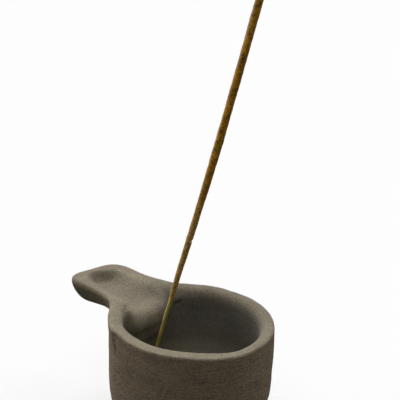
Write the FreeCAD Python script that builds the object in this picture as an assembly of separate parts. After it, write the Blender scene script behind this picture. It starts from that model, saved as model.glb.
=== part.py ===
import FreeCAD, Part
import math
import os

V = FreeCAD.Vector

# Incense burner: a thrown stoneware cup with an open trough-shaped grip, and one incense stick.
# Frame: millimetres, +Z up, origin at the centre of the flat base, the grip points along -X,
# and the plane y = 0 is the mirror plane.

# ---------------------------------------------------------------- driving dimensions
RIM_HEIGHT = 46.0          # height of the rim above the bowl's centre
RIM_SLOPE = 0.067          # the rim rises towards the grip by this much per millimetre
RIM_RADIUS = 38.1          # outside radius at the rim
WALL_TAPER = 0.015         # the outside wall narrows downwards by this much per millimetre
BELLY_HEIGHT = 19.0        # below this the outside wall curves in to the foot
BELLY_ARC = 40.0           # radius of the upper, gentle curve to the foot
BELLY_TURN = 20.0          # degrees from vertical where the small foot curve takes over
INNER_RADIUS = 30.8        # inside radius at the rim
INNER_TAPER = 0.035        # the inside wall narrows downwards by this much per millimetre
FLOOR_HEIGHT = 8.0         # thickness of the floor
INNER_CORNER = 12.0        # radius between floor and inside wall
LIP_ROUND = 1.7            # rounding of the rim's edges
SEAM_X = -39.0             # plane where the grip is luted to the bowl

# Grip, outside: (x, half width at the top, depth of the hull below the rim plane)
GRIP_HULL = [
    (-28.0, 24.4, 17.5),
    (-33.5, 20.0, 14.8),
    (-39.0, 17.5, 12.8),
    (-44.0, 16.3, 12.1),
    (-49.0, 15.75, 12.0),
    (-54.0, 15.75, 12.4),
    (-58.5, 15.85, 12.5),
    (-62.0, 15.3, 11.9),
    (-64.8, 13.9, 10.2),
    (-67.0, 11.4, 7.8),
    (-68.5, 7.8, 5.0),
    (-69.4, 4.4, 2.6),
]
# Trough, inside: (x, half width at the top, depth below the rim plane); inwards it rolls over into the bowl
TROUGH = [
    (-63.2, 3.2, 1.0),
    (-62.0, 6.0, 3.5),
    (-59.8, 8.2, 5.2),
    (-57.0, 9.1, 5.2),
    (-52.5, 9.2, 4.1),
    (-48.0, 9.3, 3.3),
    (-43.5, 9.5, 2.9),
    (-39.5, 9.9, 3.0),
    (-35.0, 10.7, 3.4),
    (-30.0, 12.4, 4.0),
    (-26.5, 14.6, 4.9),
    (-24.0, 15.6, 6.2),
    (-22.4, 16.0, 8.6),
    (-21.2, 16.2, 12.0),
    (-20.0, 16.4, 17.0),
]
# Lobe, the thick wall under the trough that bulges into the bowl: its face in side view as (x, z),
# and the upright cylinder that rounds it in plan
LOBE_FACE = [
    (-31.0, 8.5),
    (-29.4, 13.5),
    (-28.1, 20.0),
    (-26.4, 27.0),
    (-24.4, 33.0),
    (-22.6, 39.0),
    (-21.4, 45.0),
    (-21.0, 52.0),
]
LOBE_X, LOBE_RADIUS = -41.0, 20.0
LOBE_BACK = 34.4           # radius about the bowl's axis where the lobe ends, within the wall

# Incense stick: a line in the mirror plane, x = STICK_RUN * z + STICK_X0
STICK_RUN = 0.326
STICK_X0 = -30.1
STICK_FOOT_Z = 5.6         # height of the splint's foot, inside its socket
CORE_RADIUS = 0.95
CORE_LENGTH = 229.0
SOCKET_RADIUS = 1.10
SOCKET_FLOOR_GAP = 0.15    # room under the splint's foot
# Paste: (distance from the foot, outside radius)
PASTE = [
    (48.0, 1.08),
    (62.0, 1.20),
    (80.0, 1.36),
    (100.0, 1.60),
    (122.0, 1.78),
    (150.0, 1.76),
    (190.0, 1.74),
    (228.6, 1.72),
]
STICK_LENGTH = 230.0


def rim_z(x):
    return RIM_HEIGHT - RIM_SLOPE * x


def spline(points, **kw):
    curve = Part.BSplineCurve()
    curve.interpolate(Points=points, **kw)
    return curve.toShape()


# ---------------------------------------------------------------- bowl, outside
TOP_Z = 58.0
taper = math.atan(WALL_TAPER)
turn = math.radians(BELLY_TURN)
r_belly = RIM_RADIUS - WALL_TAPER * (RIM_HEIGHT - BELLY_HEIGHT)
c1 = (r_belly - BELLY_ARC * math.cos(taper), BELLY_HEIGHT + BELLY_ARC * math.sin(taper))


def on_arc(c, radius, angle):
    # angle: turn of the wall from vertical, so the outward normal points down by that angle
    return V(c[0] + radius * math.cos(angle), 0, c[1] - radius * math.sin(angle))


p_belly = V(r_belly, 0, BELLY_HEIGHT)
p_turn = on_arc(c1, BELLY_ARC, turn)
foot_arc = p_turn.z / (1 - math.sin(turn))
c2 = (p_turn.x - foot_arc * math.cos(turn), foot_arc)
p_foot = V(c2[0], 0, 0)
r_top = RIM_RADIUS + WALL_TAPER * (TOP_Z - RIM_HEIGHT)
outer_wire = Part.Wire([
    Part.makeLine(V(0, 0, 0), p_foot),
    Part.Arc(p_foot, on_arc(c2, foot_arc, 0.5 * (turn + math.pi / 2)), p_turn).toShape(),
    Part.Arc(p_turn, on_arc(c1, BELLY_ARC, 0.5 * (turn + taper)), p_belly).toShape(),
    Part.makeLine(p_belly, V(r_top, 0, TOP_Z)),
    Part.makeLine(V(r_top, 0, TOP_Z), V(0, 0, TOP_Z)),
    Part.makeLine(V(0, 0, TOP_Z), V(0, 0, 0)),
])
bowl_outside = Part.Face(outer_wire).revolve(V(0, 0, 0), V(0, 0, 1), 360)

# ---------------------------------------------------------------- bowl, inside
r_in_top = INNER_RADIUS + INNER_TAPER * (TOP_Z + 4 - RIM_HEIGHT)
tilt = math.atan(INNER_TAPER)
# the corner arc is tangent to the flat floor and to the sloping wall
zc = FLOOR_HEIGHT + INNER_CORNER


def wall_r(z):
    return INNER_RADIUS - INNER_TAPER * (RIM_HEIGHT - z)


rc = wall_r(zc) - INNER_CORNER / math.cos(tilt)
p_wall = V(rc + INNER_CORNER * math.cos(tilt), 0, zc - INNER_CORNER * math.sin(tilt))
half = 0.5 * (math.pi / 2 + tilt)
inner_wire = Part.Wire([
    Part.makeLine(V(0, 0, FLOOR_HEIGHT), V(rc, 0, FLOOR_HEIGHT)),
    Part.Arc(V(rc, 0, FLOOR_HEIGHT),
             V(rc + INNER_CORNER * math.cos(half), 0, zc - INNER_CORNER * math.sin(half)),
             p_wall).toShape(),
    Part.makeLine(p_wall, V(r_in_top, 0, TOP_Z + 4)),
    Part.makeLine(V(r_in_top, 0, TOP_Z + 4), V(0, 0, TOP_Z + 4)),
    Part.makeLine(V(0, 0, TOP_Z + 4), V(0, 0, FLOOR_HEIGHT)),
])
cavity = Part.Face(inner_wire).revolve(V(0, 0, 0), V(0, 0, 1), 360)


# ---------------------------------------------------------------- grip, outside and trough
def hull_section(x, w, d):
    # half-oval hull below the rim plane, with rounded lips and a flat top in the rim plane
    z0 = rim_z(x)
    k = min(LIP_ROUND, 0.45 * d, 0.4 * w)
    low, n = [], 14
    for i in range(n + 1):
        a = math.pi * i / n
        low.append(V(x, -w * math.cos(a), z0 - k - (d - k) * math.sin(a) ** 0.9))
    c = k * (1 - math.sqrt(0.5))
    return Part.Wire([
        spline(low),
        Part.Arc(V(x, w, z0 - k), V(x, w - c, z0 - c), V(x, w - k, z0)).toShape(),
        Part.makeLine(V(x, w - k, z0), V(x, k - w, z0)),
        Part.Arc(V(x, k - w, z0), V(x, c - w, z0 - c), V(x, -w, z0 - k)).toShape(),
    ])


def trough_section(x, w, d):
    # dished section that runs out through the rim plane at an open angle
    z0 = rim_z(x)
    pts, n = [], 16
    for i in range(n + 1):
        t = -1.25 + 2.5 * i / n
        pts.append(V(x, w * t, z0 - d * (1 - abs(t) ** 2.4)))
    return Part.Wire([spline(pts), Part.makeLine(pts[-1], pts[0])])


hull = Part.makeLoft([hull_section(*s) for s in GRIP_HULL], True, False)
trough = Part.makeLoft([trough_section(*t) for t in TROUGH], True, False)

# ---------------------------------------------------------------- one clay form, then its two pieces
above = Part.makeBox(240, 160, 60, V(-120, -80, 0))
above.rotate(V(0, 0, 0), V(0, 1, 0), math.degrees(math.atan(RIM_SLOPE)))
above.translate(V(0, 0, RIM_HEIGHT))
cup = bowl_outside.cut(above).cut(cavity)


def on_rim(e):
    ends = [e.valueAt(t) for t in (e.FirstParameter, 0.3 * e.FirstParameter + 0.7 * e.LastParameter)]
    return all(abs(p.z - rim_z(p.x)) < 1e-3 for p in ends)


cup = cup.makeFillet(LIP_ROUND, [e for e in cup.Edges if on_rim(e)])

face_pts = [V(x, -40, z) for x, z in LOBE_FACE]
back_low, back_high = V(-37, -40, face_pts[0].z), V(-37, -40, face_pts[-1].z)
lobe_wire = Part.Wire([
    spline(face_pts),
    Part.makeLine(face_pts[-1], back_high),
    Part.makeLine(back_high, back_low),
    Part.makeLine(back_low, face_pts[0]),
])
lobe = Part.Face(lobe_wire).extrude(V(0, 80, 0))
lobe = lobe.common(Part.makeCylinder(LOBE_RADIUS, 60, V(LOBE_X, 0, 0)))
lobe = lobe.common(Part.makeCylinder(LOBE_BACK, 60)).cut(above)
clay = cup.fuse(hull.cut(cavity)).fuse(lobe).cut(trough)

far_side = Part.makeBox(120, 160, 120, V(SEAM_X - 120, -80, -20))
handle = clay.common(far_side)
bowl = clay.cut(far_side)

# ---------------------------------------------------------------- incense stick and its socket
lean = math.sqrt(1 + STICK_RUN ** 2)
axis = V(STICK_RUN / lean, 0, 1 / lean)
foot = V(STICK_RUN * STICK_FOOT_Z + STICK_X0, 0, STICK_FOOT_Z)
socket = Part.makeCylinder(SOCKET_RADIUS, 14, foot - axis * SOCKET_FLOOR_GAP, axis)
bowl = bowl.cut(socket)


def place(shape):
    # from a stick along +Z at the origin to the stick's own line
    shape.rotate(V(0, 0, 0), V(0, 1, 0), math.degrees(math.atan(STICK_RUN)))
    shape.translate(foot)
    return shape


splint = Part.makeCylinder(CORE_RADIUS, CORE_LENGTH)
splint = splint.makeChamfer(0.2, [e for e in splint.Edges if e.Closed and abs(e.valueAt(0).z) < 1e-6])
bamboo_core = place(splint)
paste_pts = [V(r, 0, s) for s, r in PASTE]
end = paste_pts[-1]
crown = V(0.5, 0, STICK_LENGTH)
outline = [V(0, 0, CORE_LENGTH), V(CORE_RADIUS, 0, CORE_LENGTH), V(CORE_RADIUS, 0, PASTE[0][0])] + paste_pts
edges = [Part.makeLine(p, q) for p, q in zip(outline, outline[1:])]
edges.append(Part.Arc(end, V(0.5 + 0.75 * (end.x - 0.5), 0, end.z + 0.7 * (STICK_LENGTH - end.z)), crown).toShape())
edges.append(Part.makeLine(crown, V(0, 0, STICK_LENGTH)))
edges.append(Part.makeLine(V(0, 0, STICK_LENGTH), V(0, 0, CORE_LENGTH)))
paste_wire = Part.Wire(edges)
incense_paste = place(Part.Face(paste_wire).revolve(V(0, 0, 0), V(0, 0, 1), 360))

os.makedirs("parts", exist_ok=True)
for name, shape in (("bowl", bowl), ("handle", handle), ("bamboo_core", bamboo_core), ("incense_paste", incense_paste)):
    solid = shape.Solids[0]
    bb = solid.optimalBoundingBox()
    print(name, solid.isValid(), len(shape.Solids), "volume mm3", round(solid.Volume, 1),
          [round(v, 2) for v in (bb.XMin, bb.XMax, bb.YMin, bb.YMax, bb.ZMin, bb.ZMax)])
    solid.exportStep("parts/%s.step" % name)
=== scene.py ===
import math

import bmesh
import bpy
import numpy as np
from mathutils import Matrix, Vector


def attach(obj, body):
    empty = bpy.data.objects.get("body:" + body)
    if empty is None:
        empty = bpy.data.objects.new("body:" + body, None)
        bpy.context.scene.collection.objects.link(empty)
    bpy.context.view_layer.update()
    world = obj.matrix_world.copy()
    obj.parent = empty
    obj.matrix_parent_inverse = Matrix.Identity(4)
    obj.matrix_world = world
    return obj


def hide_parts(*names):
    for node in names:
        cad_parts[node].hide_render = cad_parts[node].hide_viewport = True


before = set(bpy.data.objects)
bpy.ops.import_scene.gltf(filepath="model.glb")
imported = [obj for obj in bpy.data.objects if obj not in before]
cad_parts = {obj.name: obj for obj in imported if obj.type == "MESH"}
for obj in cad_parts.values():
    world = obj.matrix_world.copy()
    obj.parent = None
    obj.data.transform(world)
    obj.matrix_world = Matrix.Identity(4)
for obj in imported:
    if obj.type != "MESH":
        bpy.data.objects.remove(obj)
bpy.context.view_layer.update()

MM = 0.001

# ------------------------------------------------------------------ the form's dimensions, in millimetres
RIM_HEIGHT = 46.0
RIM_SLOPE = 0.067
RIM_RADIUS = 37.45
WALL_TAPER = 0.013
WALL_LEAN = 0.25
BELLY_HEIGHT = 19.0
BELLY_ARC = 40.0
BELLY_TURN = math.radians(20.0)
INNER_RADIUS = 30.4
INNER_TAPER = 0.035
FLOOR_HEIGHT = 8.0
INNER_CORNER = 12.0
INNER_CORNER_MORE = 6.0
SEAM_X = -39.0
# plan of the grip and of its trough, from the bowl to the end, on the far (+y) and the near (-y) side
GRIP_FAR = [(-14.0, 34.0), (-20.0, 31.3), (-24.4, 28.3), (-27.6, 25.3), (-30.4, 22.8), (-33.0, 21.1), (-35.8, 19.9), (-38.9, 18.9),
            (-44.3, 17.6), (-49.5, 16.4), (-54.8, 15.9), (-58.9, 15.7), (-62.0, 14.9), (-64.8, 13.2), (-66.8, 10.5), (-67.8, 6.7),
            (-68.2, 3.0), (-68.4, 0.0)]
GRIP_NEAR = [(-14.0, 34.4), (-20.0, 30.5), (-25.0, 26.0), (-28.5, 22.5), (-31.5, 20.0), (-34.0, 18.4), (-36.5, 17.1), (-39.0, 16.2),
             (-44.0, 15.2), (-49.0, 15.0), (-54.0, 15.3), (-58.0, 15.8), (-61.5, 15.9), (-64.6, 15.1), (-67.0, 13.2), (-68.4, 10.6),
             (-68.8, 7.0), (-68.4, 0.0)]
HULL_DEPTH = [(-71.0, 13.9), (-66.0, 13.9), (-62.0, 13.8), (-58.0, 13.3), (-53.0, 12.6), (-48.0, 11.9), (-43.0, 12.2), (-38.0, 14.2), (-33.0, 16.4), (-20.0, 21.5)]
TROUGH_FAR = [(-8.0, 14.4), (-18.0, 14.4), (-24.0, 14.1), (-27.0, 12.8), (-30.0, 11.4), (-33.0, 10.5), (-36.0, 9.6), (-39.5, 8.2), (-43.5, 7.0),
              (-48.0, 6.5), (-52.5, 6.5), (-55.5, 6.7), (-58.0, 6.1), (-59.8, 4.8), (-61.1, 3.1), (-62.1, 1.5), (-62.8, 0.0)]
TROUGH_NEAR = [(-8.0, 17.2), (-18.0, 17.2), (-24.0, 17.0), (-27.0, 15.0), (-30.0, 12.9), (-33.0, 11.4), (-36.0, 10.8), (-39.5, 11.1), (-43.5, 11.4),
               (-48.0, 11.4), (-52.5, 10.9), (-56.5, 9.6), (-59.6, 8.4), (-61.8, 7.0), (-63.1, 5.0), (-63.4, 2.5), (-62.8, 0.0)]
TROUGH_DEPTH = [(-66.0, 5.8), (-61.0, 5.7), (-58.5, 4.4), (-55.5, 3.40), (-52.5, 2.95), (-48.0, 2.6), (-43.5, 2.3), (-39.5, 2.5), (-35.0, 2.9), (-30.0, 3.4),
                (-26.0, 3.8), (-20.0, 5.0), (-8.0, 5.4)]
TROUGH_ROUND = 3.2
TROUGH_BLUR = 0.9
# the thick wall under the trough bulges into the bowl as a lobe, and fades out towards the floor
LOBE_HEIGHTS = [12.0, 24.0, 32.0, 38.0, 44.0]
LOBE_SIDES = [-28.0, -22.0, -17.0, -13.0, -9.0, -5.0, 0.0, 6.0, 12.0, 18.0, 26.0]
LOBE_FACES = [
    [-41.0, -37.0, -31.6, -29.0, -29.0, -29.6, -30.2, -32.0, -36.0, -40.0, -43.0],
    [-38.0, -34.9, -27.8, -25.8, -26.6, -27.7, -28.1, -29.5, -33.0, -39.0, -43.0],
    [-37.0, -34.2, -25.4, -23.6, -24.4, -25.1, -25.0, -25.9, -30.6, -37.8, -43.0],
    [-37.0, -33.7, -23.7, -20.9, -21.7, -22.5, -23.3, -24.7, -29.2, -36.6, -43.0],
    [-37.0, -34.5, -25.0, -21.6, -21.2, -21.1, -21.8, -23.6, -27.8, -35.6, -43.0],
]
LOBE_ROLL = [(-24.0, 2.4), (-18.0, 6.2), (-9.0, 6.1), (2.0, 6.7), (10.0, 6.0), (18.0, 4.0), (25.0, 2.0)]
LOBE_CREASE = 1.8
# a crease between the lobe and the near rim, in plan
CREASE = [(-31.6, -10.6), (-30.5, -11.6), (-29.4, -12.8), (-28.3, -13.9), (-27.0, -15.0), (-25.6, -15.9), (-24.2, -16.2)]
CREASE_DEPTH = 1.25
CREASE_WIDTH = 0.9
# marks from handling: (start, end, half width, depth), a nick and a faint scratch outside, a nail mark inside; their
# dark colour is painted shade
MARKS = [
    ((-12.0, -35.2, 40.2), (-11.9, -35.2, 36.2), 0.60, 0.45),
    ((-12.0, -35.2, 35.2), (-11.7, -35.3, 27.0), 0.45, 0.10),
    ((-11.7, -35.3, 25.5), (-11.9, -35.2, 20.5), 0.45, 0.08),
    ((-26.9, 15.6, 40.4), (-25.7, 18.0, 41.7), 0.75, 0.60),
]
# how far the inside of the rim stands off its circle, by the angle around the bowl in degrees
RIM_INSIDE = [(-180, 0.4), (-150, 0.8), (-125, 0.8), (-112, 0.4), (-104, -0.1), (-96, -0.8), (-88, -1.25), (-80, -1.6), (-66, -2.1), (-37, -2.1),
              (-30, -2.0), (-24, -1.65), (-19, -1.25), (-12, -0.55), (-4, 0.05), (4, 0.15), (13, 0.2), (30, 0.25), (60, 0.25), (90, 0.2), (120, 0.4),
              (150, 0.6), (180, 0.4)]
STICK_RUN = 0.326
STICK_X0 = -30.1
STICK_FOOT_Z = 5.6
LEAN = math.sqrt(1 + STICK_RUN ** 2)
STICK_AXIS = np.array([STICK_RUN / LEAN, 0.0, 1 / LEAN])
STICK_FOOT = np.array([STICK_RUN * STICK_FOOT_Z + STICK_X0, 0.0, STICK_FOOT_Z])
CORE_RADIUS = 0.95
CORE_LENGTH = 229.0
STICK_LENGTH = 230.0
# how far the stick bows off its straight line, by the distance from its foot
BOW = [(0.0, 0.0), (8.0, -0.10), (15.0, -0.20), (26.0, -0.34), (36.0, -0.38), (48.0, -0.30), (60.0, -0.17), (72.0, 0.0), (90.0, 0.34), (111.0, 0.58),
       (131.0, 0.68), (152.0, 0.54), (172.0, 0.31), (193.0, -0.02), (210.0, -0.18), (230.0, -0.26)]
PASTE = [(48.0, 1.02), (52.0, 1.14), (62.0, 1.30), (80.0, 1.48), (92.0, 1.54), (104.0, 1.62), (118.0, 1.74), (132.0, 1.80), (150.0, 1.76), (172.0, 1.72), (190.0, 1.71), (227.0, 1.66)]
CHIP_AT, CHIP_ANGLE = 82.0, 0.6


# ------------------------------------------------------------------ small numeric helpers
def smoothstep(a, b, x):
    t = np.clip((x - a) / (b - a), 0.0, 1.0)
    return t * t * (3 - 2 * t)


def smin(a, b, k):
    h = np.maximum(k - np.abs(a - b), 0.0) / k
    return np.minimum(a, b) - h * h * k * 0.25


def smax(a, b, k):
    return -smin(-a, -b, k)


def curve_through(points):
    """A monotone cubic through (x, y) points, as a function of an array."""
    pts = sorted(points)
    xs = np.array([p[0] for p in pts])
    ys = np.array([p[1] for p in pts])
    h = np.diff(xs)
    d = np.diff(ys) / h
    m = np.zeros_like(xs)
    for i in range(1, len(xs) - 1):
        if d[i - 1] * d[i] > 0:
            w1, w2 = 2 * h[i] + h[i - 1], h[i] + 2 * h[i - 1]
            m[i] = (w1 + w2) / (w1 / d[i - 1] + w2 / d[i])
    m[0], m[-1] = d[0], d[-1]

    def f(x):
        x = np.clip(x, xs[0], xs[-1])
        i = np.clip(np.searchsorted(xs, x) - 1, 0, len(xs) - 2)
        t = (x - xs[i]) / h[i]
        return ((2 * t ** 3 - 3 * t ** 2 + 1) * ys[i] + (t ** 3 - 2 * t ** 2 + t) * h[i] * m[i]
                + (3 * t ** 2 - 2 * t ** 3) * ys[i + 1] + (t ** 3 - t ** 2) * h[i] * m[i + 1])
    return f


def lattice(ix, iy, iz, seed):
    n = (ix * 374761393 + iy * 668265263 + iz * 1440662683 + seed * 1274126177) & 0xFFFFFFFF
    n = ((n ^ (n >> 13)) * 1274126177) & 0xFFFFFFFF
    n = ((n ^ (n >> 16)) * 668265263) & 0xFFFFFFFF
    return ((n ^ (n >> 15)) & 0xFFFFFF) / float(0xFFFFFF) * 2.0 - 1.0


def noise(p, seed):
    """Smooth value noise in -1..1 at points p, one lattice cell per unit."""
    i = np.floor(p).astype(np.int64)
    f = p - i
    u = f * f * f * (f * (f * 6 - 15) + 10)
    out = 0.0
    for a in (0, 1):
        for b in (0, 1):
            for c in (0, 1):
                w = ((u[:, 0] if a else 1 - u[:, 0]) * (u[:, 1] if b else 1 - u[:, 1]) * (u[:, 2] if c else 1 - u[:, 2]))
                out = out + w * lattice(i[:, 0] + a, i[:, 1] + b, i[:, 2] + c, seed)
    return out


def smooth_outline(far, near, step=0.4):
    """Closed outline from its two halves, which share their end point: Catmull-Rom through the points."""
    pts = [np.array(p) for p in far] + [np.array((x, -y)) for x, y in reversed(near[:-1])]
    out = []
    for i in range(len(pts) - 1):
        p0, p1, p2, p3 = pts[max(i - 1, 0)], pts[i], pts[i + 1], pts[min(i + 2, len(pts) - 1)]
        n = max(2, int(np.linalg.norm(p2 - p1) / step))
        for k in range(n):
            t = k / n
            out.append(0.5 * (2 * p1 + (p2 - p0) * t + (2 * p0 - 5 * p1 + 4 * p2 - p3) * t * t + (3 * p1 - p0 - 3 * p2 + p3) * t ** 3))
    out.append(pts[-1])
    return np.array(out)


class Grid:
    """A smooth function of two coordinates, kept on a fine grid and read between its points."""

    def __init__(self, x0, x1, y0, y1, step, make, blur=0.0):
        self.x0, self.y0, self.step = x0, y0, step
        gx, gy = np.meshgrid(np.arange(x0, x1 + step, step), np.arange(y0, y1 + step, step), indexing="ij")
        g = make(gx, gy)
        if blur:
            reach = int(math.ceil(3 * blur / step))
            w = np.exp(-0.5 * (np.arange(-reach, reach + 1) * step / blur) ** 2)
            w /= w.sum()
            for axis in (0, 1):
                wide = np.pad(g, [(reach, reach) if k == axis else (0, 0) for k in (0, 1)], mode="edge")
                n = g.shape[axis]
                g = sum(wk * np.take(wide, np.arange(k, k + n), axis=axis) for k, wk in enumerate(w))
        self.grid = g

    def __call__(self, x, y):
        nx, ny = self.grid.shape
        u = np.clip((x - self.x0) / self.step, 0, nx - 1.001)
        v = np.clip((y - self.y0) / self.step, 0, ny - 1.001)
        i, j = u.astype(int), v.astype(int)
        a, b = u - i, v - j
        g = self.grid
        return ((1 - a) * (1 - b) * g[i, j] + a * (1 - b) * g[i + 1, j] + (1 - a) * b * g[i, j + 1] + a * b * g[i + 1, j + 1])


def plan_distance(outline, gx, gy):
    """Signed distance in plan to a closed outline, negative inside."""
    best = np.full(gx.shape, 1e9)
    inside = np.zeros(gx.shape, bool)
    for (ax, ay), (bx, by) in zip(outline, np.roll(outline, -1, axis=0)):
        dx, dy = bx - ax, by - ay
        n = dx * dx + dy * dy
        if n < 1e-12:
            continue
        t = np.clip(((gx - ax) * dx + (gy - ay) * dy) / n, 0, 1)
        best = np.minimum(best, (gx - ax - t * dx) ** 2 + (gy - ay - t * dy) ** 2)
        if ay != by:
            inside ^= ((ay > gy) != (by > gy)) & (gx < (bx - ax) * (gy - ay) / (by - ay) + ax)
    return np.where(inside, -1.0, 1.0) * np.sqrt(best)


PLAN = (-76.0, -8.0, -38.0, 38.0, 0.25)


def mean_half(far, near, beyond):
    return curve_through([(x, 0.5 * (a + b)) for (x, a), (_, b) in zip(far, near) if x > beyond])


# ------------------------------------------------------------------ the clay form as one smooth field (negative in the clay)
grip_outline = smooth_outline(GRIP_FAR, GRIP_NEAR)
trough_outline = smooth_outline(TROUGH_FAR, TROUGH_NEAR)
grip_plan = Grid(*PLAN, lambda x, y: plan_distance(grip_outline, x, y))
grip_half = mean_half(GRIP_FAR, GRIP_NEAR, -62)
hull_depth = curve_through(HULL_DEPTH)
trough_axis_depth = curve_through(TROUGH_DEPTH)
trough_half = curve_through([(x, 0.5 * (a + b)) for (x, a), (_, b) in zip(TROUGH_FAR, TROUGH_NEAR) if x > -53] + [(-60.0, 9.6), (-66.0, 8.2)])
rim_inside = curve_through([(math.radians(a), v) for a, v in RIM_INSIDE])


def dished(x, y):
    """Depth of the trough under the rim plane: flat in the middle, turning up to its edge and on beyond it."""
    q = -plan_distance(trough_outline, x, y) / np.maximum(trough_half(x), 4.0)
    d = trough_axis_depth(x)
    return np.maximum(np.where(q > 0, d * (1 - (1 - np.clip(q, 0, 1)) ** TROUGH_ROUND), TROUGH_ROUND * d * q), -9.0)


def lobe_tables(heights, sides, faces):
    """The lobe's face x(y, z) through its table, and what turns an offset in x from it into a distance."""
    rows = [curve_through(list(zip(sides, f))) for f in faces]

    def face(y, z):
        at = np.array([row(y) for row in rows])
        hs = np.array(heights)
        zc = np.clip(z, hs[0], hs[-1])
        i = np.clip(np.searchsorted(hs, zc) - 1, 0, len(hs) - 2)
        t = (zc - hs[i]) / (hs[i + 1] - hs[i])
        t = t * t * (3 - 2 * t)
        pick = np.take_along_axis
        return (1 - t) * pick(at, i[None], 0)[0] + t * pick(at, i[None] + 1, 0)[0]

    span = (-40.0, 40.0, -2.0, 56.0, 0.5)
    x_face = Grid(*span, face, 1.0)
    slope = Grid(*span, lambda y, z: 1 / np.sqrt(1 + np.clip(x_face(y + 0.5, z) - x_face(y - 0.5, z), -3, 3) ** 2))
    return x_face, slope


trough_depth = Grid(*PLAN, dished, TROUGH_BLUR)
lobe_face, lobe_slope = lobe_tables(LOBE_HEIGHTS, LOBE_SIDES, LOBE_FACES)
lobe_roll = curve_through(LOBE_ROLL)


def creased(x, y):
    best = np.full(x.shape, 1e9)
    for (ax, ay), (bx, by) in zip(CREASE, CREASE[1:]):
        dx, dy = bx - ax, by - ay
        t = np.clip(((x - ax) * dx + (y - ay) * dy) / (dx * dx + dy * dy), 0, 1)
        best = np.minimum(best, np.hypot(x - ax - t * dx, y - ay - t * dy))
    return CREASE_DEPTH * np.exp(-(best / CREASE_WIDTH) ** 2) * smoothstep(-32.2, -29.4, x)


crease = Grid(*PLAN, creased, 0.3)
_taper = math.atan(WALL_TAPER)
_rb = RIM_RADIUS - WALL_TAPER * (RIM_HEIGHT - BELLY_HEIGHT)
_c1 = (_rb - BELLY_ARC * math.cos(_taper), BELLY_HEIGHT + BELLY_ARC * math.sin(_taper))
_tz = _c1[1] - BELLY_ARC * math.sin(BELLY_TURN)
_fa = _tz / (1 - math.sin(BELLY_TURN))
_c2 = (_c1[0] + BELLY_ARC * math.cos(BELLY_TURN) - _fa * math.cos(BELLY_TURN), _fa)


def sheared(x, y, z):
    """Height measured from the sloping, slightly uneven rim plane."""
    ang = np.arctan2(y, x)
    lift = 0.28 * np.sin(2 * ang + 0.6) + 0.16 * np.sin(3 * ang + 2.1) + 0.10 * np.sin(5 * ang + 0.4) + 0.30 * np.exp(-((ang - 1.15) / 0.6) ** 2)
    for height, middle, spread in ((0.5, -50.0, 18.0), (-0.55, -8.0, 14.0), (0.35, 30.0, 12.0), (-0.5, -122.0, 12.0)):
        lift = lift + height * np.exp(-((ang - math.radians(middle)) / math.radians(spread)) ** 2)
    return (z + RIM_SLOPE * x * smoothstep(6.0, 38.0, z)
            - lift * smoothstep(20.0, 44.0, z) * smoothstep(48.0, 36.0, np.hypot(x, y)))


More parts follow.
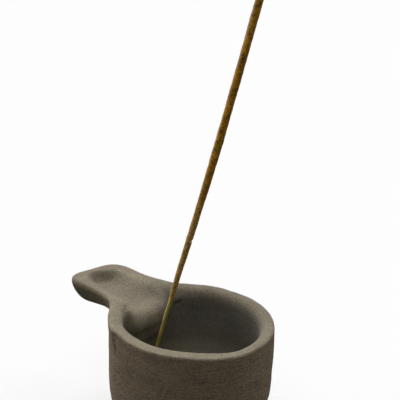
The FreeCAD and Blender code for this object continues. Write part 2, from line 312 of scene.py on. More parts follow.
def clay_field(p):
    x, y, z = p[:, 0], p[:, 1], p[:, 2]
    ang = np.arctan2(y, x)
    # hand-made unevenness: the thrown wall is not quite round and the rim not quite level
    zs = sheared(x, y, z)
    lean = 0.05 - WALL_LEAN * 0.707 * smoothstep(46.0, 18.0, z)
    r = np.hypot(x - lean, y - lean)
    r = r + smoothstep(3.0, 20.0, z) * (0.22 * np.sin(2 * ang - 0.8) + 0.12 * np.sin(3 * ang + 0.9 + 0.04 * z) + 0.10 * np.sin(0.21 * z + ang))
    r = r - smoothstep(20.0, 42.0, z) * (0.58 * np.exp(-((ang - 1.55) / 0.42) ** 2) + 0.92 * np.exp(-((ang - 2.06) / 0.21) ** 2))
    r = r + np.exp(-((ang - 0.79) / 0.25) ** 2) * (0.22 - 0.42 * np.exp(-((z - 32.0) / 6.5) ** 2))
    r = r + np.exp(-((ang + 2.40) / 0.22) ** 2) * (0.16 * smoothstep(36.0, 46.0, z) + 0.16 * np.exp(-((z - 31.0) / 5.0) ** 2))
    # outside of the bowl
    a1 = np.arctan2(_c1[1] - zs, r - _c1[0])
    a2 = np.arctan2(_c2[1] - zs, r - _c2[0])
    wall = (r - (_rb + WALL_TAPER * (zs - BELLY_HEIGHT))) * math.cos(_taper)
    arc1 = np.hypot(r - _c1[0], zs - _c1[1]) - BELLY_ARC
    arc2 = np.hypot(r - _c2[0], z - _c2[1]) - _fa
    foot = np.where(a2 >= math.pi / 2, -z, arc2)
    outside = np.where(a1 < _taper, wall, np.where(a1 < BELLY_TURN, arc1, foot))
    # grip: a boat-shaped hull under its plan outline
    u = RIM_HEIGHT - zs
    plan = grip_plan(x, y)
    w = np.maximum(grip_half(x), 12.0)
    d = hull_depth(x)
    a = np.maximum(1 + plan / w, 0.0)
    up = np.maximum(u - 1.1, 0.0)
    g = np.sqrt(a ** 2.3 + (up / (d - 1.1)) ** 1.75 + 1e-9)
    hull = (g - 1) * g / np.sqrt((a / w) ** 2 + (up / (d - 1.1) ** 2) ** 2 + 1e-6)
    hull = np.clip(hull, -12, 12)
    body = smin(outside, hull, 4.2)
    # top: level along the grip, falling a little inwards on the bowl's lip
    on_grip = smoothstep(-36.0, -44.0, x)
    body = smax(body, 0.11 * np.clip(RIM_RADIUS - 0.8 - r, 0, 9) - u, 1.0 + 1.6 * on_grip)
    # inside of the bowl, with a rim that is thicker on the near side
    wall_in = r - (INNER_RADIUS + rim_inside(ang) * smoothstep(26.0, 40.0, z) - INNER_TAPER * (RIM_HEIGHT - zs))
    turn = INNER_CORNER + INNER_CORNER_MORE * smoothstep(-0.25, 0.5, np.cos(ang - 1.4))
    zc = FLOOR_HEIGHT + turn
    rc = INNER_RADIUS - INNER_TAPER * (RIM_HEIGHT - zc) - turn
    corner = np.hypot(r - rc, z - zc) - turn
    hollow = np.where((r > rc) & (z < zc), corner, np.maximum(FLOOR_HEIGHT - z, wall_in))
    hollow = smax(hollow, (lobe_face(y, z) - x) * lobe_slope(y, z), LOBE_CREASE)
    # trough: dished, and rolling over into the bowl
    trough = np.maximum((RIM_HEIGHT - trough_depth(x, y)) - zs, x + 9.0)
    voids = smin(hollow, trough, lobe_roll(y))
    back = smoothstep(-0.2, 0.8, np.cos(ang - 2.356)) * (1 - on_grip)
    by_lobe = np.exp(-((ang - 2.62) / 0.2) ** 2) * (1 - on_grip)
    right = np.exp(-((ang - 0.55) / 0.6) ** 2)
    clay = smax(body, -voids, 2.9 + 1.5 * back + 3.0 * by_lobe + 2.0 * right) + crease(x, y) * smoothstep(34.0, 42.0, z)
    # socket for the foot of the stick
    rel = p - STICK_FOOT
    s = rel @ STICK_AXIS
    radial = np.linalg.norm(rel - s[:, None] * STICK_AXIS, axis=1)
    hole = np.where(s > 12, 9.0, np.maximum(radial - 1.35, -(s + 0.2)))
    return smax(clay, -hole, 0.5)


def field_grid(lo, hi, step):
    n = [int(math.ceil((b - a) / step)) + 1 for a, b in zip(lo, hi)]
    ys = lo[1] + step * np.arange(n[1])
    zs = lo[2] + step * np.arange(n[2])
    gy, gz = np.meshgrid(ys, zs, indexing="ij")
    out = np.empty(n, np.float32)
    for i in range(n[0]):
        pts = np.stack([np.full(gy.size, lo[0] + step * i), gy.ravel(), gz.ravel()], 1)
        out[i] = clay_field(pts).reshape(n[1], n[2])
    return out


def surface_nets(f, lo, step):
    """Quads on the zero level of a grid, one vertex per cell that it crosses."""
    neg = f < 0
    nx, ny, nz = f.shape
    cells = (nx - 1, ny - 1, nz - 1)
    total = np.zeros(cells + (3,), np.float32)
    count = np.zeros(cells, np.int16)
    crossings = []
    for axis in range(3):
        lo_s = [slice(None)] * 3
        hi_s = [slice(None)] * 3
        lo_s[axis], hi_s[axis] = slice(0, -1), slice(1, None)
        fa, fb = f[tuple(lo_s)], f[tuple(hi_s)]
        cross = neg[tuple(lo_s)] != neg[tuple(hi_s)]
        idx = np.argwhere(cross)
        va, vb = fa[cross], fb[cross]
        pos = idx.astype(np.float32)
        pos[:, axis] += va / (va - vb)
        o1, o2 = [k for k in range(3) if k != axis]
        for da in (0, -1):
            for db in (0, -1):
                c = idx.copy()
                c[:, o1] += da
                c[:, o2] += db
                ok = np.all((c >= 0) & (c < np.array(cells)), axis=1)
                np.add.at(total, tuple(c[ok].T), pos[ok])
                np.add.at(count, tuple(c[ok].T), 1)
        crossings.append((axis, idx, va < 0))
    used = count > 0
    number = np.full(cells, -1, np.int64)
    number[used] = np.arange(used.sum())
    verts = total[used] / count[used][:, None] * step + np.array(lo, np.float32)
    quads = []
    for axis, idx, inside_first in crossings:
        o1, o2 = [(1, 2), (2, 0), (0, 1)][axis]
        ok = (idx[:, o1] > 0) & (idx[:, o2] > 0) & (idx[:, o1] < cells[o1]) & (idx[:, o2] < cells[o2])
        e = idx[ok]
        first = inside_first[ok]
        ring = []
        for da, db in ((-1, -1), (0, -1), (0, 0), (-1, 0)):
            c = e.copy()
            c[:, o1] += da
            c[:, o2] += db
            ring.append(number[tuple(c.T)])
        q = np.stack(ring, 1)
        q[~first] = q[~first][:, ::-1]
        quads.append(q)
    return verts.astype(np.float64), np.concatenate(quads)


def gradient(p, e=0.05):
    g = np.empty_like(p)
    for k in range(3):
        d = np.zeros(3)
        d[k] = e
        g[:, k] = (clay_field(p + d) - clay_field(p - d)) / (2 * e)
    return g


def on_surface(p, rounds=3):
    for _ in range(rounds):
        g = gradient(p)
        n2 = np.maximum((g * g).sum(1), 0.05)
        move = -(clay_field(p) / n2)[:, None] * g
        size = np.linalg.norm(move, axis=1, keepdims=True)
        p = p + move * np.minimum(1.0, 0.3 / np.maximum(size, 1e-9))
    return p


STEP = 0.6
low, high = (-73.0, -40.0, -1.0), (40.0, 40.0, 53.0)
clay_v, clay_q = surface_nets(field_grid(low, high, STEP), low, STEP)
clay_v = on_surface(clay_v)


def tone_and_painted_light_masks(p, n):
    """How far each point belongs to the outside wall, the inside, its deeper part (painted shade), the upper edges
    (painted paler, as lit tops) and the grip's underside (painted shade), 0 to 1.
    """
    x, y, z = p[:, 0], p[:, 1], p[:, 2]
    u = RIM_HEIGHT - sheared(x, y, z)
    r = np.hypot(x, y)
    out_r = (n[:, 0] * x + n[:, 1] * y) / np.maximum(r, 1e-6)
    on_top = smoothstep(0.15, 0.75, n[:, 2]) * smoothstep(9.0, 3.0, u)
    within = smoothstep(0.2, -0.2, out_r) * smoothstep(33.0, 31.0, r) * smoothstep(1.0, 4.0, u)
    within = np.maximum(within, smoothstep(31.0, 29.0, r) * smoothstep(6.0, 7.5, z) * smoothstep(12.0, 16.0, u))
    within = np.maximum(within, smoothstep(32.0, 30.0, r) * smoothstep(7.0, 9.0, z) * smoothstep(3.0, 6.0, u) * smoothstep(4.0, -4.0, y))
    wall = (1 - on_top) * (1 - within) * smoothstep(-0.35, -0.05, out_r)
    on_lobe = smoothstep(-14.0, -20.0, x) * smoothstep(11.0, 6.0, y) * smoothstep(-21.0, -16.0, y)
    inside = within * (1 - on_lobe * smoothstep(12.0, 5.0, u))
    # painted shade: darker deep inside under the rim, less so towards the floor
    deep = inside * smoothstep(2.0, 8.5, u) * (1 - on_lobe) * (1 - smoothstep(34.0, 20.0, z))
    # painted light: lit tops and edges paler, less so towards the back, the right and the grip's end, and on the lit
    # top of the lobe inside
    painted_top_light = (1 - 0.6 * smoothstep(4.0, 18.0, y)) * (1 - 0.35 * smoothstep(-6.0, 14.0, x)) * (1 - 0.35 * smoothstep(-56.0, -66.0, x))
    edge = np.maximum(painted_top_light * on_top * smoothstep(2.4, 0.5, u), 0.6 * on_lobe * within * smoothstep(13.0, 6.0, u))
    # painted shade: darker on the grip's underside
    under = wall * smoothstep(-36.0, -43.0, x) * smoothstep(0.35, -0.25, n[:, 2])
    return wall, inside, deep, edge, under


def marked(p):
    """How deep in a mark each point is, in millimetres, and 0 to 1 for the shade painted into it."""
    depth, share = np.zeros(len(p)), np.zeros(len(p))
    for start, end, width, deep in MARKS:
        a, b = np.array(start), np.array(end)
        t = np.clip((p - a) @ (b - a) / ((b - a) @ (b - a)), 0, 1)
        wander = 0.35 * width * noise(np.stack([t * 4, t * 0 + 3.1 * width, t * 0], 1), 51)
        off = p - a - t[:, None] * (b - a) - wander[:, None] * np.array([0.95, -0.3, 0.0])
        out = np.array([a[0], a[1], 0.0]) / math.hypot(a[0], a[1])
        d = np.linalg.norm(off - 0.75 * (off @ out)[:, None] * out, axis=1)
        g = np.exp(-(d / width) ** 2) * (0.7 + 0.3 * np.sin(math.pi * t))
        depth = np.maximum(depth, deep * g)
        share = np.maximum(share, g * min(1.0, deep / 0.3))
    return depth, share


def normals_of(p):
    g = gradient(p)
    return g / np.maximum(np.linalg.norm(g, axis=1, keepdims=True), 1e-9)


def roughen(p):
    """Unevenness that a hand and a rib leave: soft lumps all over, scrape marks outside, throwing rings inside."""
    n = normals_of(p)
    wall, inside, deep, edge, under = tone_and_painted_light_masks(p, n)
    ang = np.arctan2(p[:, 1], p[:, 0])
    d = 0.07 * noise(p / 7.0, 3) + 0.040 * noise(p / 2.6, 5) + 0.034 * noise(p / 1.4, 7) - marked(p)[0]
    d += wall * (0.030 * noise(p / np.array([9.0, 9.0, 1.5]), 11) + 0.05 * noise(p / np.array([26.0, 26.0, 4.0]), 13))
    d += inside * 0.022 * np.sin(2 * math.pi * p[:, 2] / 5.2 + ang + 1.5 * noise(p / 14.0, 17))
    d *= smoothstep(0.4, 2.0, p[:, 2])
    p = p + n * d[:, None]
    p[:, 2] = np.maximum(p[:, 2], 0.0)
    return p


clay_v = roughen(clay_v)


def new_object(name, verts_mm, faces, body):
    mesh = bpy.data.meshes.new(name)
    mesh.from_pydata((np.asarray(verts_mm) * MM).tolist(), [], faces.tolist() if hasattr(faces, "tolist") else faces)
    mesh.update()
    mesh.polygons.foreach_set("use_smooth", [True] * len(mesh.polygons))
    obj = bpy.data.objects.new(name, mesh)
    bpy.context.scene.collection.objects.link(obj)
    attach(obj, body)
    return obj


def put_attribute(mesh, name, values):
    a = mesh.attributes.new(name, "FLOAT", "POINT")
    a.data.foreach_set("value", np.asarray(values, np.float32))


def clay_piece(name, node, keep_far):
    """The clay on one side of the seam plane, closed there, shaded as if it were still one form."""
    bm = bmesh.new()
    kept = bm.verts.layers.float_vector.new("kept_normal")
    vs = [bm.verts.new(c) for c in (clay_v * MM).tolist()]
    for q in clay_q.tolist():
        bm.faces.new([vs[i] for i in q])
    bm.normal_update()
    for v in bm.verts:
        v[kept] = v.normal
    cut = bmesh.ops.bisect_plane(bm, geom=bm.verts[:] + bm.edges[:] + bm.faces[:], plane_co=(SEAM_X * MM, 0, 0), plane_no=(1, 0, 0),
                                 clear_outer=keep_far, clear_inner=not keep_far)
    rim = [e for e in cut["geom_cut"] if isinstance(e, bmesh.types.BMEdge)]
    cap = bmesh.ops.triangle_fill(bm, edges=rim, use_beauty=True)
    for f in cap["geom"]:
        if isinstance(f, bmesh.types.BMFace) and (f.normal.x > 0) != keep_far:
            f.normal_flip()
    mesh = bpy.data.meshes.new(name)
    bm.to_mesh(mesh)
    bm.free()
    mesh.polygons.foreach_set("use_smooth", [True] * len(mesh.polygons))
    n = np.empty(len(mesh.vertices) * 3, np.float32)
    mesh.attributes["kept_normal"].data.foreach_get("vector", n)
    n = n.reshape(-1, 3)
    n = n / np.maximum(np.linalg.norm(n, axis=1, keepdims=True), 1e-9)
    mesh.attributes.remove(mesh.attributes["kept_normal"])
    co = np.empty(len(mesh.vertices) * 3, np.float32)
    mesh.vertices.foreach_get("co", co)
    p = co.reshape(-1, 3).astype(np.float64) / MM
    for label, values in zip(("wall", "inside", "deep", "edge", "under"), tone_and_painted_light_masks(p, normals_of(p))):
        put_attribute(mesh, label, values)
    put_attribute(mesh, "mark", marked(p)[1])
    mesh.normals_split_custom_set_from_vertices(n.tolist())
    obj = bpy.data.objects.new(name, mesh)
    bpy.context.scene.collection.objects.link(obj)
    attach(obj, "cup")
    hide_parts(node)
    return obj


bowl = clay_piece("stoneware_bowl", "bowl", False)
grip = clay_piece("stoneware_handle", "handle", True)

# ------------------------------------------------------------------ the incense stick
side_a = np.array([STICK_AXIS[2], 0.0, -STICK_AXIS[0]])
side_b = np.array([0.0, 1.0, 0.0])
bow = curve_through(BOW)


def tube(name, node, stations, radius, sides, caps):
    """A closed tube along the stick's line. radius(s, angle) gives its surface; caps pulls the ends in."""
    ang = 2 * math.pi * np.arange(sides) / sides
    verts, faces = [], []
    for s in stations:
        rr = radius(s, ang)
        centre = STICK_FOOT + STICK_AXIS * s + side_a * bow(np.array([s]))[0]
        verts.append(centre + rr[:, None] * (np.cos(ang)[:, None] * side_a + np.sin(ang)[:, None] * side_b))
    for i in range(len(stations) - 1):
        for k in range(sides):
            j = (k + 1) % sides
            faces.append((i * sides + k, i * sides + j, (i + 1) * sides + j, (i + 1) * sides + k))
    n = len(stations) * sides
    verts.append(verts[0].mean(0)[None] - STICK_AXIS * caps[0])
    verts.append(verts[len(stations) - 1].mean(0)[None] + STICK_AXIS * caps[1])
    last = (len(stations) - 1) * sides
    for k in range(sides):
        j = (k + 1) % sides
        faces.append((n, j, k))
        faces.append((n + 1, last + k, last + j))
    obj = new_object(name, np.concatenate(verts), faces, "stick")
    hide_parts(node)
    return obj


def around(s, ang, radius, scale_s, scale_r, seed):
    p = np.stack([np.cos(ang) * radius * scale_r, np.sin(ang) * radius * scale_r, np.full(len(ang), s * scale_s)], 1)
    return noise(p, seed)


paste_radius = curve_through(PASTE)


def splint_surface(s, ang):
    # split and scraped bamboo: a few flattened sides, fibres along it, a squared-off foot
    facet = 0.030 * np.cos(4 * ang + 0.5) + 0.018 * np.cos(3 * ang + 1.1 + 0.01 * s)
    fibre = 0.016 * around(s, ang, 1.0, 0.06, 3.2, 23) + 0.020 * around(s, ang, 1.0, 0.25, 1.2, 29)
    chamfer = 0.16 * (1 - min(1.0, s / 0.35)) + 0.10 * (1 - min(1.0, (CORE_LENGTH - s) / 0.3))
    return CORE_RADIUS * 0.97 + facet + fibre - chamfer


def paste_surface(s, ang):
    # rolled on by hand: lumps and thin places, grains of ground wood and gum, a feathered start on the splint
    base = paste_radius(np.array([s]))[0]
    start = min(1.0, max(0.0, (s - 47.0) / 10.0))
    thin = smoothstep(90.0, 80.0, s) * 0.6 + 0.4
    lumps = 0.085 * around(s, ang, 1.0, 0.11, 0.9, 31) + 0.060 * around(s, ang, 1.0, 0.32, 1.1, 37)
    grains = 0.055 * around(s, ang, 1.0, 0.9, 1.7, 41) + 0.045 * thin * around(s, ang, 1.0, 1.5, 2.6, 43)
    r = base + lumps * start + grains * (0.35 + 0.65 * start)
    # a chip out of one side, and a lump across from it
    turn = np.angle(np.exp(1j * (ang - CHIP_ANGLE)))
    r = r - 0.55 * math.exp(-((s - CHIP_AT) / 0.6) ** 2) * np.exp(-(turn / 0.6) ** 2)
    r = r + 0.22 * math.exp(-((s - CHIP_AT - 1.0) / 0.8) ** 2) * np.exp(-((np.abs(turn) - math.pi) / 0.6) ** 2)
    first = 47.6 - 1.3 * np.cos(ang - math.pi / 4) + 0.8 * np.maximum(around(47.0, ang, 1.0, 1.0, 1.6, 47), -0.5)
    r = r - smoothstep(2.5, 0.0, s - first) * (base - CORE_RADIUS + 0.10)
    end = STICK_LENGTH - 0.15 - s
    if end < 1.3:
        r = r * math.sqrt(max(0.0, 1 - ((1.3 - end) / 1.45) ** 2))
    return r


splint = tube("bamboo_splint", "bamboo_core",
              np.concatenate([[0.0, 0.12, 0.35], np.arange(1.0, 62.0, 0.5), np.arange(62.0, CORE_LENGTH - 0.4, 2.0), [CORE_LENGTH - 0.3, CORE_LENGTH]]),
              splint_surface, 28, (0.0, 0.0))
coat = tube("incense_coat", "incense_paste",
            np.concatenate([np.arange(45.72, 228.4, 0.42), 228.4 + np.array([0.0, 0.3, 0.6, 0.85, 1.05, 1.2, 1.32])]),
            paste_surface, 40, (0.0, 0.05))


# ------------------------------------------------------------------ camera at the photograph's angle
def look(azimuth, elevation, distance, focal_px, roll, at_px, target):
    a, e, ro = (math.radians(v) for v in (azimuth, elevation, roll))
    back = Vector((math.sin(a) * math.cos(e), -math.cos(a) * math.cos(e), math.sin(e)))
    forward, right = -back, Vector((math.cos(a), math.sin(a), 0))
    up = right.cross(forward)
    r2 = right * math.cos(ro) + up * math.sin(ro)
    u2 = up * math.cos(ro) - right * math.sin(ro)
    d = Vector(((at_px[0] - 200) / focal_px, -(at_px[1] - 200) / focal_px, 1)).normalized()
    turn = Vector((0, 0, 1)).rotation_difference(d).to_matrix()
    rows = turn @ Matrix((r2, u2, forward))
    cam = bpy.data.cameras.new("camera")
    cam.sensor_fit = "AUTO"
    cam.sensor_width = 36.0
    cam.lens = focal_px / 400.0 * 36.0
    cam.clip_start, cam.clip_end = 0.02, 60
    obj = bpy.data.objects.new("camera", cam)
    bpy.context.scene.collection.objects.link(obj)
    m = Matrix((rows[0], rows[1], -rows[2])).transposed().to_4x4()
    m.translation = Vector(target) * MM + back * (distance * MM)
    obj.matrix_world = m
    bpy.context.scene.camera = obj


look(45.0, 23.9, 700.0, 1559.0, 1.38, (191.6, 319.8), (0, 0, RIM_HEIGHT))

# ------------------------------------------------------------------ floor, surroundings and soft light
scene = bpy.context.scene
scene.view_settings.view_transform = "Standard"


class Nodes:
    """Short names for building one material's nodes."""

    def __init__(self, name):
        self.material = bpy.data.materials.new(name)
        self.material.use_nodes = True
        self.tree = self.material.node_tree
        self.shader = self.tree.nodes["Principled BSDF"]

    def put(self, socket, value):
        if isinstance(value, bpy.types.NodeSocket):
            self.tree.links.new(value, socket)
        else:
            socket.default_value = value

    def shade(self, **values):
        for name, value in values.items():
            self.put(self.shader.inputs[name.replace("_", " ")], value)

    def calc(self, op, *values):
        n = self.tree.nodes.new("ShaderNodeMath")
        n.operation = op
        for socket, value in zip(n.inputs, values):
            self.put(socket, value)
        return n.outputs[0]

    def step(self, value, a, b):
        n = self.tree.nodes.new("ShaderNodeMapRange")
        n.interpolation_type = "SMOOTHSTEP"
        self.put(n.inputs["Value"], value)
        n.inputs["From Min"].default_value = a
        n.inputs["From Max"].default_value = b
        return n.outputs["Result"]

    def mix(self, factor, a, b, how="MIX"):
        n = self.tree.nodes.new("ShaderNodeMix")
        n.data_type = "RGBA"
        n.blend_type = how
        for i, value in ((0, factor), (6, a), (7, b)):
            self.put(n.inputs[i], value)
        return n.outputs[2]

    def at(self, size=(1.0, 1.0, 1.0), turn=(0.0, 0.0, 0.0), origin=(0.0, 0.0, 0.0)):
        """Places on the piece in its own frame, measured in steps of size from origin along turned axes."""
        t = self.tree.nodes.new("ShaderNodeTexCoord")
        n = self.tree.nodes.new("ShaderNodeMapping")
        n.vector_type = "TEXTURE"
        self.put(n.inputs["Vector"], t.outputs["Object"])
        for name, value in (("Location", origin), ("Rotation", turn), ("Scale", size)):
            n.inputs[name].default_value = value
        return n.outputs[0]

    def axes(self, vector):
        n = self.tree.nodes.new("ShaderNodeSeparateXYZ")
        self.put(n.inputs[0], vector)
        return n.outputs

    def noise(self, vector, detail=2.0, rough=0.5, warp=0.0):
        n = self.tree.nodes.new("ShaderNodeTexNoise")
        self.put(n.inputs["Vector"], vector)
        for name, value in (("Scale", 1.0), ("Detail", detail), ("Roughness", rough), ("Distortion", warp)):
            n.inputs[name].default_value = value
        return n.outputs["Fac"]

    def cells(self, vector):
        n = self.tree.nodes.new("ShaderNodeTexVoronoi")
        self.put(n.inputs["Vector"], vector)
        n.inputs["Scale"].default_value = 1.0
        return n.outputs["Distance"], self.axes(n.outputs["Color"])

    def spots(self, vector, radius, share):
        """1 in a round spot in some of the cells of vector's grid, else 0."""
        distance, random = self.cells(vector)
        return self.calc("MULTIPLY", self.step(distance, radius, radius * 0.4), self.calc("LESS_THAN", random[0], share))

    def attribute(self, name):
        n = self.tree.nodes.new("ShaderNodeAttribute")
        n.attribute_name = name
        return n.outputs["Fac"]

    def swing(self, value, amount):
        """A noise value as a swing of about +-amount/4 around nothing."""
        return self.calc("MULTIPLY", self.calc("SUBTRACT", value, 0.5), amount)

    def total(self, *values):
        out = values[0]
        for v in values[1:]:
            out = self.calc("ADD", out, v)
        return out

    def bump(self, height, distance, strength=1.0):
        n = self.tree.nodes.new("ShaderNodeBump")
        n.inputs["Strength"].default_value = strength
        n.inputs["Distance"].default_value = distance
        self.put(n.inputs["Height"], height)
        self.put(self.shader.inputs["Normal"], n.outputs[0])


def dress(obj, nodes):
    obj.data.materials.clear()
    obj.data.materials.append(nodes.material)


# (azimuth and elevation of the light in degrees, strength)
SOFT_LIGHTS = [(144, 38, 0.66), (72, 38, 0.31), (180, 12, 0.31), (300, 64, 0.19), (212, 12, 0.22), (0, 90, 0.09), (60, 64, 0.04)]
for i, (azimuth, elevation, strength) in enumerate(SOFT_LIGHTS):
    a, e = math.radians(azimuth), math.radians(elevation)
    lamp = bpy.data.lights.new("soft_light_%d" % i, "SUN")
    lamp.energy = math.pi * strength
    lamp.angle = math.radians(45)
    lamp_obj = bpy.data.objects.new(lamp.name, lamp)
    scene.collection.objects.link(lamp_obj)
    lamp_obj.rotation_euler = Vector((-math.cos(a) * math.cos(e), -math.sin(a) * math.cos(e), -math.sin(e))).to_track_quat("-Z", "Y").to_euler()

# light from below the horizon, as a pale table top gives it
world = bpy.data.worlds.new("studio")
world.use_nodes = True
wt = world.node_tree
w_at, w_xyz, w_low, w_mul = (wt.nodes.new(k) for k in ("ShaderNodeTexCoord", "ShaderNodeSeparateXYZ", "ShaderNodeMath", "ShaderNodeMath"))
w_low.operation, w_mul.operation = "LESS_THAN", "MULTIPLY"
w_low.inputs[1].default_value, w_mul.inputs[1].default_value = 0.0, 0.19
wt.links.new(w_at.outputs["Generated"], w_xyz.inputs[0])
wt.links.new(w_xyz.outputs["Z"], w_low.inputs[0])
wt.links.new(w_low.outputs[0], w_mul.inputs[0])
wt.links.new(w_mul.outputs[0], wt.nodes["Background"].inputs["Strength"])
wt.nodes["Background"].inputs["Color"].default_value = (1, 1, 1, 1)
scene.world = world


def stage_piece(name, verts, faces, colour, glow):
    mesh = bpy.data.meshes.new(name)
    mesh.from_pydata(verts, [], faces)
    obj = bpy.data.objects.new(name, mesh)
    scene.collection.objects.link(obj)
    obj.visible_diffuse = obj.visible_glossy = False
    m = Nodes("pale_" + name)
    m.shade(Base_Color=colour, Roughness=1.0, Specular_IOR_Level=0.0, Emission_Color=(1, 1, 1, 1), Emission_Strength=glow)
    dress(obj, m)
    return obj


REACH = 18.0
floor = stage_piece("floor", [(-REACH, -REACH, 0), (REACH, -REACH, 0), (REACH, REACH, 0), (-REACH, REACH, 0)], [(0, 1, 2, 3)], (0.30, 0.30, 0.30, 1), 0.68)
ring = [(REACH * math.cos(2 * math.pi * k / 48), REACH * math.sin(2 * math.pi * k / 48)) for k in range(48)]
surround = stage_piece("surround", [(x, y, -0.5) for x, y in ring] + [(x, y, 26.0) for x, y in ring] + [(0, 0, 30.0)],
                       [(k, (k + 1) % 48, 48 + (k + 1) % 48, 48 + k) for k in range(48)] + [(48 + k, 48 + (k + 1) % 48, 96) for k in range(48)],
                       (0, 0, 0, 1), 0.97)
surround.visible_shadow = False

# ------------------------------------------------------------------ materials
CLAY_EDGE_PAINTED_LIGHT = (0.270, 0.233, 0.164, 1)
CLAY_UPPER = (0.218, 0.188, 0.134, 1)
CLAY_INSIDE = (0.199, 0.182, 0.138, 1)
CLAY_DEEP_PAINTED_SHADE = (0.163, 0.153, 0.125, 1)
CLAY_WALL = (0.249, 0.193, 0.128, 1)
CLAY_UNDER_PAINTED_SHADE = (0.148, 0.129, 0.078, 1)


def stoneware():
    """Unglazed, reduction-fired clay: grey-brown, matte, with fine grog and scrape lines on the wall; paler tops and
    edges are painted light, and darker colour deep inside, under the grip and in the dents is painted shade.
    """
    m = Nodes("stoneware")
    wall, inside, deep, edge, under, mark = (m.attribute(k) for k in ("wall", "inside", "deep", "edge", "under", "mark"))
    broad = m.noise(m.at((0.017, 0.017, 0.013)), 2.0, 0.55)
    patch = m.noise(m.at((0.0042, 0.0042, 0.0036), origin=(0.3, 0.1, 0.2)), 2.0, 0.6)
    grain = m.noise(m.at((0.0008, 0.0008, 0.0008)), 1.0, 0.6)
    fine = m.noise(m.at((0.0004, 0.0004, 0.0004), origin=(0.2, 0.5, 0.1)), 0.0, 0.5)
    lines = m.noise(m.at((0.012, 0.012, 0.0010), origin=(0.1, 0.2, 0.4)), 2.0, 0.6)
    rows = m.noise(m.at((0.0016, 0.0016, 0.00055), origin=(0.5, 0.2, 0.7)), 1.0, 0.5)
    # painted light and shade: paler lit tops and edges, darker deep inside and under the grip
    colour = m.mix(deep, m.mix(inside, m.mix(edge, CLAY_UPPER, CLAY_EDGE_PAINTED_LIGHT), CLAY_INSIDE), CLAY_DEEP_PAINTED_SHADE)
    colour = m.mix(under, m.mix(wall, colour, CLAY_WALL), CLAY_UNDER_PAINTED_SHADE)
    calm = m.calc("SUBTRACT", 1.0, m.calc("MULTIPLY", inside, 0.45))
    shade = m.total(1.0, m.calc("MULTIPLY", calm, m.total(m.swing(broad, 0.36), m.swing(patch, 0.40), m.swing(grain, 0.95), m.swing(fine, 0.65))),
                    m.calc("MULTIPLY", wall, m.swing(m.total(lines, rows, -0.5), 0.78)))
    colour = m.mix(1.0, colour, shade, "MULTIPLY")
    # painted shade: dark colour in the nick, the scratch and the nail mark
    colour = m.mix(m.calc("MULTIPLY", mark, 0.75), colour, (0.045, 0.030, 0.020, 1))
    # warmer where iron comes through the clay
    rust = m.step(m.noise(m.at((0.009, 0.009, 0.006), origin=(0.7, 0.3, 0.2)), 3.0, 0.6), 0.52, 0.72)
    rust = m.calc("MULTIPLY", rust, m.calc("SUBTRACT", 0.16, m.calc("MULTIPLY", m.calc("MAXIMUM", inside, edge), 0.16)))
    colour = m.mix(rust, colour, (0.23, 0.165, 0.105, 1))
    pits = m.spots(m.at((0.0042, 0.0042, 0.0036), origin=(0.02, 0.07, 0.05)), 0.085, 0.55)
    specks = m.spots(m.at((0.0066, 0.0066, 0.0060), origin=(0.09, 0.03, 0.01)), 0.055, 0.34)
    colour = m.mix(m.calc("MULTIPLY", pits, 0.55), colour, (0.055, 0.043, 0.034, 1))
    colour = m.mix(m.calc("MULTIPLY", specks, 0.75), colour, (0.52, 0.49, 0.43, 1))
    height = m.total(m.calc("MULTIPLY", grain, 0.9), m.calc("MULTIPLY", fine, 0.35), m.calc("MULTIPLY", m.calc("MULTIPLY", wall, m.total(lines, rows)), 0.5),
                     m.calc("MULTIPLY", pits, -0.8), m.calc("MULTIPLY", specks, 0.4))
    m.bump(height, 0.00030, 0.9)
    m.shade(Base_Color=colour, Roughness=m.total(0.86, m.swing(patch, 0.16)), Specular_IOR_Level=0.2)
    return m


clay = stoneware()
dress(bowl, clay)
dress(grip, clay)

STICK_TURN = (0.0, math.atan(STICK_RUN), 0.0)
STICK_ORIGIN = tuple(float(v) * MM for v in STICK_FOOT)


def painted_side_light(m, amount):
    """A factor around 1 that is larger on the stick's lit side, as painted light; amount is per metre across it."""
    x, y, _ = m.axes(m.at((1.0, 1.0, 1.0), STICK_TURN, STICK_ORIGIN))
    return m.calc("SUBTRACT", 1.0, m.calc("MULTIPLY", m.calc("ADD", x, y), amount))


def far_side_painted_shade(m, colour, depth, tint):
    """Painted shade on the far half of the stick, depth metres across: darker and duller, colour times tint there."""
    x, y, _ = m.axes(m.at((1.0, 1.0, 1.0), STICK_TURN, STICK_ORIGIN))
    share = m.step(m.calc("SUBTRACT", x, y), -0.0004, -depth)
    colour = m.mix(m.calc("MULTIPLY", share, 0.07), colour, (0.40, 0.38, 0.36, 1))
    return m.mix(1.0, colour, m.mix(share, (1, 1, 1, 1), tint), "MULTIPLY")


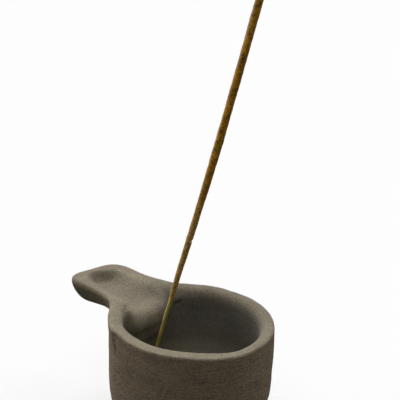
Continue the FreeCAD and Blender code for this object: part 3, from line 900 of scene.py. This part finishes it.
def bamboo():
    """Split bamboo: golden olive with pale and dark fibres along it and a few darker stains."""
    m = Nodes("bamboo")
    fibres = m.noise(m.at((0.00022, 0.00022, 0.014), STICK_TURN, STICK_ORIGIN), 2.0, 0.6)
    strands = m.noise(m.at((0.0006, 0.0006, 0.030), STICK_TURN, STICK_ORIGIN), 1.0, 0.5)
    stain = m.noise(m.at((0.0030, 0.0030, 0.0075), STICK_TURN, STICK_ORIGIN), 3.0, 0.6)
    colour = m.mix(m.step(fibres, 0.36, 0.64), (0.39, 0.290, 0.014, 1), (0.78, 0.63, 0.08, 1))
    colour = m.mix(m.calc("MULTIPLY", m.step(strands, 0.52, 0.70), 0.6), colour, (0.96, 0.84, 0.36, 1))
    colour = m.mix(m.calc("MULTIPLY", m.step(stain, 0.48, 0.68), 0.65), colour, (0.24, 0.17, 0.010, 1))
    # a pale painted highlight along the lit side; browned towards the foot
    x, y, along = m.axes(m.at((1.0, 1.0, 1.0), STICK_TURN, STICK_ORIGIN))
    colour = m.mix(m.calc("MULTIPLY", m.step(m.calc("ADD", x, y), -0.0003, -0.0010), 0.45), colour, (0.95, 0.83, 0.40, 1))
    foot = m.step(along, 0.034, 0.024)
    colour = m.mix(m.calc("MULTIPLY", foot, 0.6), colour, (0.42, 0.26, 0.05, 1))
    # painted light: paler on the lit side
    colour = m.mix(1.0, colour, painted_side_light(m, 230.0), "MULTIPLY")
    # painted shade on the far half
    colour = far_side_painted_shade(m, colour, 0.0012, (0.62, 0.60, 0.90, 1))
    m.bump(m.total(fibres, strands), 0.00010, 0.7)
    m.shade(Base_Color=colour, Roughness=m.total(0.48, m.swing(fibres, 0.5)), Specular_IOR_Level=0.45)
    return m


def paste():
    """Rolled incense: golden-brown powder and gum with olive and dark blotches and coarser wood grains."""
    m = Nodes("incense_paste")
    blotch = m.noise(m.at((0.0030, 0.0030, 0.0044), STICK_TURN, STICK_ORIGIN), 2.0, 0.6, 0.4)
    olive = m.noise(m.at((0.0050, 0.0050, 0.0090), STICK_TURN, (0.11, 0.05, 0.02)), 1.0, 0.5)
    reds = m.noise(m.at((0.0024, 0.0024, 0.0030), STICK_TURN, (0.31, 0.12, 0.07)), 1.0, 0.6)
    crumb = m.noise(m.at((0.0010, 0.0010, 0.0011), STICK_TURN, STICK_ORIGIN), 1.0, 0.6)
    dust = m.noise(m.at((0.00028, 0.00028, 0.0003), STICK_TURN, STICK_ORIGIN), 0.0, 0.5)
    colour = m.mix(m.step(olive, 0.46, 0.68), (0.62, 0.285, 0.010, 1), (0.46, 0.295, 0.010, 1))
    colour = m.mix(m.calc("MULTIPLY", m.step(blotch, 0.48, 0.72), 0.8), colour, (0.17, 0.070, 0.004, 1))
    colour = m.mix(m.calc("MULTIPLY", m.step(blotch, 0.44, 0.28), 0.6), colour, (0.86, 0.48, 0.05, 1))
    colour = m.mix(m.calc("MULTIPLY", m.step(reds, 0.52, 0.70), 0.7), colour, (0.46, 0.160, 0.014, 1))
    # thinner and dustier towards the bare end
    low = m.step(m.axes(m.at((1.0, 1.0, 1.0), STICK_TURN, STICK_ORIGIN))[2], 0.118, 0.080)
    colour = m.mix(m.calc("MULTIPLY", low, 0.50), colour, (0.70, 0.46, 0.160, 1))
    colour = m.mix(1.0, colour, m.total(1.0, m.swing(crumb, 2.3), m.swing(dust, 1.4)), "MULTIPLY")
    # painted light: paler on the lit side, with a pale painted highlight along its edge
    colour = m.mix(1.0, colour, painted_side_light(m, 100.0), "MULTIPLY")
    x, y, along = m.axes(m.at((1.0, 1.0, 1.0), STICK_TURN, STICK_ORIGIN))
    colour = m.mix(m.calc("MULTIPLY", m.step(m.calc("ADD", x, y), -0.0006, -0.0021), 0.42), colour, (0.72, 0.57, 0.36, 1))
    # painted shade on the far half
    colour = far_side_painted_shade(m, colour, 0.0019, (0.50, 0.52, 0.95, 1))
    # paler paste where the chip is
    chip =m.step(m.calc("ABSOLUTE", m.calc("SUBTRACT", along, CHIP_AT * MM)), 0.0009, 0.0004)
    chip = m.calc("MULTIPLY", chip, m.calc("MULTIPLY", m.step(m.calc("ADD", x, y), 0.0002, 0.0008), m.step(m.calc("SUBTRACT", x, y), -0.0012, -0.0004)))
    colour = m.mix(chip, colour, (1.0, 0.76, 0.46, 1))
    grains = m.spots(m.at((0.0017, 0.0017, 0.0017), STICK_TURN, (0.05, 0.02, 0.03)), 0.30, 0.36)
    colour = m.mix(m.calc("MULTIPLY", grains, m.total(0.35, m.calc("MULTIPLY", low, 0.45))), colour, (0.88, 0.62, 0.26, 1))
    m.bump(m.total(m.calc("MULTIPLY", crumb, 1.0), m.calc("MULTIPLY", dust, 0.4), m.calc("MULTIPLY", grains, 0.5)), 0.00030, 0.9)
    m.shade(Base_Color=colour, Roughness=m.total(0.72, m.swing(crumb, 0.2)), Specular_IOR_Level=0.25)
    return m


dress(splint, bamboo())
dress(coat, paste())
